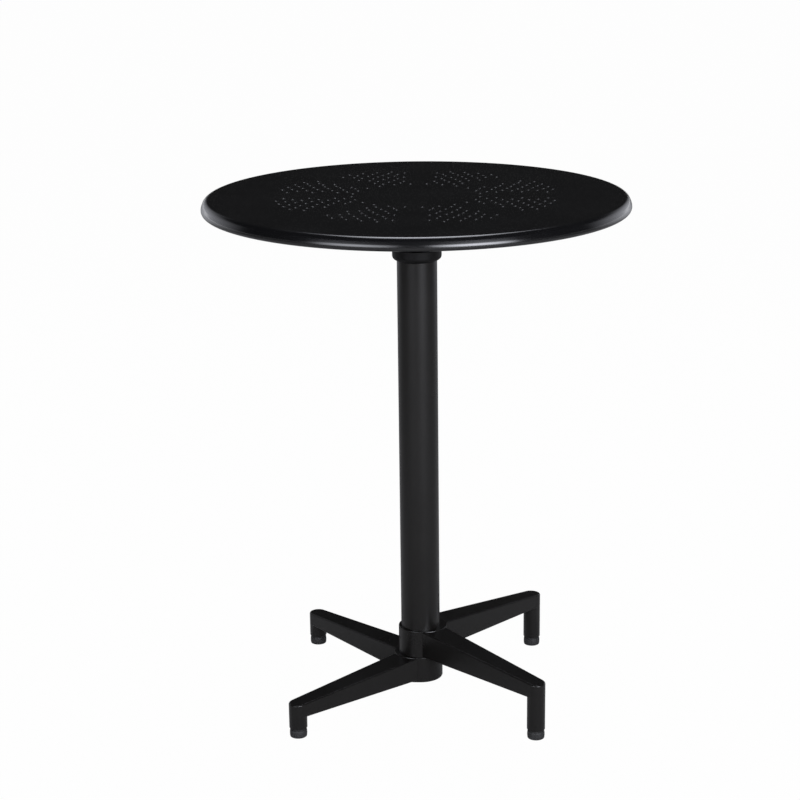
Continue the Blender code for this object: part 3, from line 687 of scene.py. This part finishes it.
dress(makeBolt(boltSet), "pivot_bolt")
nutLow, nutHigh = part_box("pivot_nut")
dress(makeNut(boltSet, "pivotNut", nutLow.y, nutHigh.y, tiltPlace), "pivot_nut")
dress(makeBush(bushSet, "pivot_bush_back", "pivotBushBack"), "pivot_bush_back")
dress(makeBush(bushSet, "pivot_bush_front", "pivotBushFront"), "pivot_bush_front")
dress(makeKeeper(pinSet), "latch_keeper")
dress(makeLatchPin(pinSet), "latch_pin")
spring = dress(makeSpring(springSet), "latch_spring")
springTop = middle("latch_spring")
springTop.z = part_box("top_plate")[0].z
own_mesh(spring)
print("tilt and latch hardware made")


# column head: turned flange and spigot, with two cast cheeks for the pivot, the rest and the keeper
headSet = {
    "flange": 0.010,
    "round": 0.0065,
    "edge": 0.0008,
    "tubeWall": 0.002,
    "cheekGap": 0.040,
    "cheek": 0.006,
    "cheekEdge": 0.001,
    "boss": 0.013,
    "back": 0.056,
    "backRise": 0.0194,
    "restFront": 0.030,
    "restBack": 0.048,
    "bushBore": 0.0076,
    "keeperBore": 0.0033,
    "rodBore": 0.0053,
    "rodDepth": 0.0263,
    "sides": 128,
}


def makeHead(s):
    low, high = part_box("column_head")
    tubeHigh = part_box("column_tube")[1]
    tube, under, edge = tubeHigh.x, tubeHigh.z + gap, s["edge"]
    radius, ledge = tube + s["round"], under + s["round"]
    top = ledge + s["flange"]
    spigot = tube - s["tubeWall"] - gap
    profile = [(0, top)] + arcPoints((radius - edge, top - edge), edge, 90, 0, 4)
    profile += arcPoints((tube, ledge), s["round"], 0, -90, 10)
    profile += [(spigot, under), (spigot, low.z + edge), (spigot - edge, low.z), (0, low.z)]
    head = lathe("columnHead", profile, s["sides"])
    inner = s["cheekGap"] / 2
    outer = inner + s["cheek"]
    foot = math.sqrt(radius ** 2 - outer ** 2) - gap
    pivot = (tiltPivot.x, tiltPivot.z)
    back = pivot[0] - s["back"]
    outline = [(-foot, ledge), (foot, ledge), (foot, top)] + arcPoints(pivot, s["boss"], -20, 100, 16)
    outline += [(pivot[0] - s["restFront"], high.z), (pivot[0] - s["restBack"], high.z)]
    outline += [(back, pivot[1] + s["backRise"]), (back, pivot[1]), (-foot, top)]
    cheeks = []
    for side in (-1, 1):
        place = Matrix.Translation((0, side * (inner + outer) / 2, 0)) @ inXz
        cheek = prism("cheek", outline, -s["cheek"] / 2, s["cheek"] / 2, place)
        cheeks.append(soften(cheek, s["cheekEdge"]))
    carve(head, "UNION", *cheeks)
    keeper = middle("latch_keeper")
    keeperPlace = Matrix.Translation((keeper.x, 0, keeper.z)) @ alongY
    past = 2 * outer
    holes = [bore(s["bushBore"], -past, past, bushSet["sides"], tiltPlace)]
    holes.append(bore(s["keeperBore"], -past, past, pinSet["sides"], keeperPlace))
    holes.append(bore(s["rodBore"], low.z - gap, low.z + s["rodDepth"], boltSet["sides"]))
    return carve(head, "DIFFERENCE", *holes)


# the head wears the darker copy of the coat, painted shade for its place under the top
dress(makeHead(headSet), "column_head", coat=shadedHeadCoat)
print("column head made")


# column: drawn tube between the collar and the head
tubeSet = {"wall": 0.002, "edge": 0.0004, "sides": 128}


def makeTube(s):
    low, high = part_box("column_tube")
    outer, inner, edge = high.x, high.x - s["wall"], s["edge"]
    profile = [
        (outer - edge, high.z), (outer, high.z - edge), (outer, low.z + edge), (outer - edge, low.z),
        (inner, low.z), (inner, high.z),
    ]
    return lathe("columnTube", profile, s["sides"], closed=True)


dress(makeTube(tubeSet), "column_tube")


# tie rod, washer and nut: they pull the head, the tube and both castings together
tieSet = {"threaded": 0.030, "washerEdge": 0.0004, "sides": 56}


def makeRod(s, bolt):
    low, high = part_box("tie_rod")
    core = bolt["radius"] - bolt["thread"]["depth"]
    thread = dict(bolt["thread"], low=low.z + bolt["thread"]["depth"], high=low.z + s["threaded"])
    profile = [(0, low.z), (core, low.z)] + threadRows(bolt["radius"], thread)
    runOut = thread["high"] + bolt["thread"]["depth"]
    profile += [(bolt["radius"], runOut), (bolt["radius"], high.z), (0, high.z)]
    return lathe("tieRod", profile, bolt["sides"], thread=thread)


def makeWasher(s, bolt):
    low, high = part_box("tie_washer")
    wide, inner, edge = high.x, bolt["radius"] + gap, s["washerEdge"]
    profile = [(wide - edge, high.z), (wide, high.z - edge), (wide, low.z + edge), (wide - edge, low.z)]
    profile += [(inner, low.z), (inner, high.z)]
    return lathe("tieWasher", profile, s["sides"], closed=True)


dress(makeRod(tieSet, boltSet), "tie_rod")
dress(makeWasher(tieSet, boltSet), "tie_washer")
tieLow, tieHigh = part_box("tie_nut")
dress(makeNut(boltSet, "tieNut", tieLow.z, tieHigh.z, Matrix()), "tie_nut")
print("column and tie rod made")


# base castings: drawn-out hubs, tapered arms with rounded edges, posts and cored undersides
baseSet = {
    "boss": 0.007,
    "hubEdge": 0.0014,
    "armReach": 0.238,
    "armRoot": 0.0213,
    "armStart": 0.024,
    "armEdge": 0.0022,
    "armWall": 0.004,
    "ribThickness": 0.004,
    "endRadius": 0.0129,
    "postRadius": 0.01285,
    "postEdge": 0.0006,
    "armInset": 0.001,
    "pocketEdge": 0.0018,
    "recessDepth": 0.013,
    "recessRadius": 0.0205,
    "rodBore": 0.0053,
    "insertBore": 0.0065,
    "insertDepth": 0.0136,
    "studBore": 0.0043,
    "studDepth": 0.0379,
    "sides": 96,
    "endSteps": 32,
    "postSides": 64,
    "boreSides": 32,
}
lowArms = {
    "angles": (135, 225),
    "side": -1,
    "clear": 0.0035,
    "fall": 0.0075,
    "rise": 0.0065,
    "bottom": 0.021,
}
highArms = {
    "angles": (45, 315),
    "side": 1,
    "clear": 0.001,
    "fall": 0.016,
    "rise": 0.002,
    "bottom": 0.0603,
}


def armHalf(s, along):
    lean = math.acos((s["armRoot"] - s["endRadius"]) / s["armReach"])
    return (s["armRoot"] - along * math.cos(lean)) / math.sin(lean), math.degrees(lean)


def castArm(s, a, hub, top, angle):
    half, lean = armHalf(s, s["armStart"])
    outline = [(s["armStart"], -half)]
    outline += arcPoints((s["armReach"], 0), s["endRadius"], -lean, lean, s["endSteps"])
    outline += [(s["armStart"], half)]
    shares = [(x - hub) / (s["armReach"] - hub) for x, y in outline]
    highs = [top - s["armInset"] - a["fall"] * share for share in shares]
    lows = [a["bottom"] + a["clear"] + a["rise"] * share for share in shares]
    turn = Matrix.Rotation(math.radians(angle), 4, "Z")
    return soften(prism("arm", outline, lows, highs, turn), s["armEdge"])


def armPocket(s, a, hub, top, angle, start, end):
    outline = []
    roofs = []
    for along, side in ((start, -1), (end, -1), (end, 1), (start, 1)):
        outline.append((along, side * (armHalf(s, along)[0] - s["armWall"])))
        fall = a["fall"] * (along - hub) / (s["armReach"] - hub)
        roofs.append(top - s["armInset"] - fall - s["armWall"])
    turn = Matrix.Rotation(math.radians(angle), 4, "Z")
    return soften(prism("pocket", outline, 0.0, roofs, turn), s["pocketEdge"], segments=2)


def makeCasting(s, a, node, name):
    low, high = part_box(node)
    hub = -a["side"] * (low.x if a["side"] > 0 else high.x)
    half = s["sides"] // 2
    outline = arcPoints((0, 0), hub, 90, 270, half) + arcPoints((s["boss"], 0), hub, -90, 90, half)
    outline = [(a["side"] * x, y) for x, y in outline]
    casting = soften(prism(name, outline, a["bottom"], high.z), s["hubEdge"], segments=2)
    first = hub + s["boss"] + s["armWall"]
    last = s["armReach"] - s["postRadius"] - s["armWall"]
    rib = (first + last) / 2
    added = []
    taken = []
    for angle in a["angles"]:
        foot = Matrix.Rotation(math.radians(angle), 4, "Z") @ Matrix.Translation((s["armReach"], 0, 0))
        roof = high.z - s["armInset"] - a["fall"] - s["armWall"]
        added.append(castArm(s, a, hub, high.z, angle))
        added.append(disc("post", s["postRadius"], low.z, roof, s["postSides"], s["postEdge"], foot))
        taken.append(armPocket(s, a, hub, high.z, angle, first, rib - s["ribThickness"] / 2))
        taken.append(armPocket(s, a, hub, high.z, angle, rib + s["ribThickness"] / 2, last))
        taken.append(bore(s["insertBore"], 0.0, low.z + s["insertDepth"], s["boreSides"], foot))
        taken.append(bore(s["studBore"], 0.0, s["studDepth"], s["boreSides"], foot))
    tubeLow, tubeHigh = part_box("column_tube")
    if a["side"] > 0:
        taken.append(bore(tubeHigh.x + gap, tubeLow.z - gap, 2 * high.z, s["sides"]))
    else:
        taken.append(bore(s["recessRadius"], 0.0, a["bottom"] + s["recessDepth"], s["sides"]))
    taken.append(bore(s["rodBore"], 0.0, 2 * high.z))
    carve(casting, "UNION", *added)
    carve(casting, "DIFFERENCE", *taken)
    return dress(casting, node)


makeCasting(baseSet, lowArms, "lower_base", "lowerBase")
makeCasting(baseSet, highArms, "upper_base", "upperBase")
print("base castings made")


# levelling feet: moulded barrel pads on threaded studs
footSet = {
    "grooveDepth": 0.0017,
    "grooveWidth": 0.002,
    "barrel": 0.0004,
    "floor": 0.004,
    "edge": 0.0009,
    "thread": {"pitch": 0.00125, "depth": 0.0007, "rows": 8},
    "insertEdge": 0.0003,
    "sides": 64,
    "studSides": 24,
    "insertSides": 32,
}


def makePad(s, node, name):
    low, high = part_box(node)
    centre = (low + high) / 2
    radius, height = (high.x - low.x) / 2, high.z
    neck = radius - s["grooveDepth"]
    shoulder = height - s["grooveWidth"]
    studLow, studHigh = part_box(node.replace("pad", "stud"))
    hole = (studHigh.x - studLow.x) / 2 + gap
    side = []
    for share in (i / 8 for i in range(9)):
        bulge = radius - s["barrel"] * (2 * share - 1) ** 2
        side.append((bulge, s["edge"] + (shoulder - 2 * s["edge"]) * share))
    profile = [(0, 0), (neck, 0)]
    profile += arcPoints((side[0][0] - s["edge"], s["edge"]), s["edge"], -60, -15, 3)
    profile += side
    profile += arcPoints((side[-1][0] - s["edge"], shoulder - s["edge"]), s["edge"], 15, 90, 4)
    profile += [(neck, shoulder), (neck, height), (hole, height), (hole, s["floor"]), (0, s["floor"])]
    return lathe(name, profile, s["sides"], place=Matrix.Translation((centre.x, centre.y, 0)))


def makeStud(s, node, name):
    low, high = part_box(node)
    centre = (low + high) / 2
    radius = (high.x - low.x) / 2
    core = radius - s["thread"]["depth"]
    thread = dict(s["thread"], low=low.z + s["edge"], high=high.z - s["edge"])
    profile = [(0, low.z), (core, low.z)] + threadRows(radius, thread) + [(core, high.z), (0, high.z)]
    place = Matrix.Translation((centre.x, centre.y, 0))
    return lathe(name, profile, s["studSides"], place=place, thread=thread)


def makeInsert(s, node, name):
    low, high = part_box(node)
    centre = (low + high) / 2
    outer = (high.x - low.x) / 2
    studLow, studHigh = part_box(node.replace("insert", "stud"))
    inner = (studHigh.x - studLow.x) / 2 + gap
    edge = s["insertEdge"]
    profile = [(outer, high.z), (outer, low.z + edge), (outer - edge, low.z)]
    profile += [(inner + edge, low.z), (inner, low.z + edge), (inner, high.z)]
    place = Matrix.Translation((centre.x, centre.y, 0))
    return lathe(name, profile, s["insertSides"], closed=True, place=place)


for corner in ("back_left", "front_left", "back_right", "front_right"):
    tag = corner.title().replace("_", "")
    dress(makePad(footSet, "foot_pad_" + corner, "footPad" + tag), "foot_pad_" + corner)
    dress(makeStud(footSet, "foot_stud_" + corner, "footStud" + tag), "foot_stud_" + corner)
    dress(makeInsert(footSet, "foot_insert_" + corner, "footInsert" + tag), "foot_insert_" + corner)
print("feet made")


# studio: pale floor and horizon, a dim room above, and softboxes that fade towards their edges
studioSet = {
    "floorRadius": 40.0,
    "floorSides": 64,
    "floorColour": "#b4b3b1",
    "floorSeen": 0.985,
    "floorMirrored": 0.09,
    "sheetFade": (0.0, 2.0),  # degrees above the horizon
    "roomColour": "#202020",
    "lampColour": "#f4f6ff",
    "boxes": {
        "rightBox": {"turn": 31, "rise": 11, "far": 3.2, "size": (2.7, 1.9), "power": 305},
        "leftBox": {"turn": -29, "rise": 11, "far": 3.2, "size": (2.7, 1.9), "power": 135},
        "overheadBox": {"turn": 180, "rise": 64, "far": 2.4, "size": (1.5, 2.1), "power": 76},
        "leftKicker": {"turn": -130, "rise": 5, "far": 2.6, "size": (3.4, 2.2), "power": 24},
        "rightKicker": {"turn": 132, "rise": 5, "far": 2.6, "size": (3.2, 2.2), "power": 28},
    },
    "boxAim": (0, 0, 0.7),
}


# softbox at a turn from the front and a rise above the aim, in degrees; it glows fully in its middle only
def softbox(name, s, aim, colour):
    data = bpy.data.lights.new(name, "AREA")
    data.shape = "RECTANGLE"
    data.size, data.size_y = s["size"]
    data.energy = s["power"]
    data.color = colour[:3]
    data.use_nodes = True
    tree = data.node_tree
    spot = addNode(tree, "ShaderNodeNewGeometry").outputs["Parametric"]
    across = addNode(tree, "ShaderNodeSeparateXYZ", _0=spot)
    fades = []
    for share in across.outputs[:2]:
        rest = addNode(tree, "ShaderNodeMath", {"operation": "SUBTRACT"}, _0=1.0, _1=share).outputs[0]
        hump = addNode(tree, "ShaderNodeMath", {"operation": "MULTIPLY"}, _0=share, _1=rest).outputs[0]
        fades.append(addNode(tree, "ShaderNodeMath", {"operation": "MULTIPLY"}, _0=hump, _1=4.0).outputs[0])
    glow = addNode(tree, "ShaderNodeMath", {"operation": "MULTIPLY"}, _0=fades[0], _1=fades[1]).outputs[0]
    tree.links.new(glow, tree.nodes["Emission"].inputs["Strength"])
    lamp = bpy.data.objects.new(name, data)
    turn, rise = math.radians(s["turn"]), math.radians(s["rise"])
    away = Vector((math.sin(turn) * math.cos(rise), -math.cos(turn) * math.cos(rise), math.sin(rise)))
    lamp.location = Vector(aim) + away * s["far"]
    lamp.rotation_euler = away.to_track_quat("Z", "Y").to_euler()
    lamp.visible_camera = False
    bpy.context.scene.collection.objects.link(lamp)


# the kinds of ray that see a surface: straight from the camera, or by way of a mirror or glass
def seeingRays(tree):
    path = addNode(tree, "ShaderNodeLightPath").outputs
    mirrored = addNode(
        tree, "ShaderNodeMath", {"operation": "MAXIMUM"},
        _0=path["Is Glossy Ray"], _1=path["Is Transmission Ray"],
    )
    return path["Is Camera Ray"], mirrored.outputs[0]


def makeFloor(s):
    mesh = bpy.data.meshes.new("floor")
    ground = bmesh.new()
    bmesh.ops.create_circle(ground, cap_ends=True, segments=s["floorSides"], radius=s["floorRadius"])
    ground.to_mesh(mesh)
    ground.free()
    floor = bpy.data.objects.new("floor", mesh)
    bpy.context.scene.collection.objects.link(floor)
    paint, tree, output = newMaterial("matt_white_floor_paint")
    seen, mirrored = seeingRays(tree)
    direct = addNode(tree, "ShaderNodeMath", {"operation": "MULTIPLY"}, _0=seen, _1=s["floorSeen"])
    share = addNode(
        tree, "ShaderNodeMath", {"operation": "MULTIPLY_ADD"},
        _0=mirrored, _1=s["floorMirrored"], _2=direct.outputs[0],
    )
    matt = addNode(tree, "ShaderNodeBsdfDiffuse", Color=linear(s["floorColour"]))
    white = addNode(tree, "ShaderNodeEmission", Color=(1, 1, 1, 1), Strength=1.0)
    mix = addNode(tree, "ShaderNodeMixShader", _0=share.outputs[0], _1=matt.outputs[0], _2=white.outputs[0])
    tree.links.new(mix.outputs[0], output.inputs[0])
    mesh.materials.append(paint)


def makeRoom(s):
    world = bpy.data.worlds.new("studioRoom")
    world.use_nodes = True
    tree = world.node_tree
    tree.nodes.clear()
    look = addNode(tree, "ShaderNodeTexCoord").outputs["Generated"]
    rise = addNode(tree, "ShaderNodeSeparateXYZ", _0=look).outputs[2]
    low, high = (math.sin(math.radians(angle)) for angle in s["sheetFade"])
    sheet = addNode(tree, "ShaderNodeMapRange", _0=rise, _1=low, _2=high, _3=1.0, _4=0.0).outputs[0]
    seen, mirrored = seeingRays(tree)
    share = addNode(tree, "ShaderNodeMath", {"operation": "MULTIPLY_ADD"}, _0=mirrored, _1=sheet, _2=seen)
    dim = addNode(tree, "ShaderNodeBackground", Color=linear(s["roomColour"]), Strength=1.0)
    white = addNode(tree, "ShaderNodeBackground", Color=(1, 1, 1, 1), Strength=1.0)
    mix = addNode(tree, "ShaderNodeMixShader", _0=share.outputs[0], _1=dim.outputs[0], _2=white.outputs[0])
    addNode(tree, "ShaderNodeOutputWorld", Surface=mix.outputs[0])
    bpy.context.scene.world = world


def makeStudio(s):
    makeFloor(s)
    makeRoom(s)
    for name, box in s["boxes"].items():
        softbox(name, box, s["boxAim"], linear(s["lampColour"]))


makeStudio(studioSet)
bpy.context.scene.view_settings.view_transform = "Standard"
print("studio lit")
